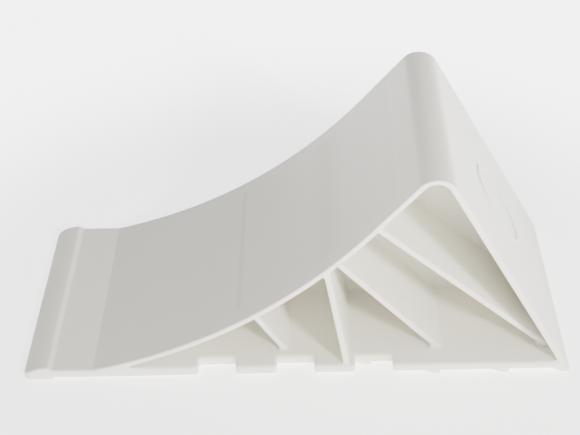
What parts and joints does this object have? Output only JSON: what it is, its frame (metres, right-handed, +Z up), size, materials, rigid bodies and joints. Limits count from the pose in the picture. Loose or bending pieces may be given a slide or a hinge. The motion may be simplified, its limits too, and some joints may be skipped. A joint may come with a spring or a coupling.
{
  "type": "wheel chock",
  "caption": "Ribbed hollow wedge that blocks a trailer or truck wheel, with a curved tread, a flat drive-on tongue, side notches and grip teeth.",
  "frame": {"origin": "on the ground, at the middle of the length and of the width", "axes": "+X from the toe to the rear, +Y across the width, +Z up"},
  "size_m": [0.372, 0.165, 0.1583],
  "materials": {
    "moulded_plastic": "satin off-white polyolefin moulding"
  },
  "bodies": {
    "root": {"base_plate": "moulded_plastic", "centre_web": "moulded_plastic", "crest": "moulded_plastic", "emblem_ring": "moulded_plastic", "grip_tooth_1": "moulded_plastic", "grip_tooth_2": "moulded_plastic", "grip_tooth_3": "moulded_plastic", "left_rib_1": "moulded_plastic", "left_rib_2": "moulded_plastic", "left_rib_3": "moulded_plastic", "left_rib_4": "moulded_plastic", "rear_foot": "moulded_plastic", "rear_wall": "moulded_plastic", "right_rib_1": "moulded_plastic", "right_rib_2": "moulded_plastic", "right_rib_3": "moulded_plastic", "right_rib_4": "moulded_plastic", "toe_lip": "moulded_plastic", "tongue": "moulded_plastic", "tread_plate": "moulded_plastic"}
  },
  "joints": []
}
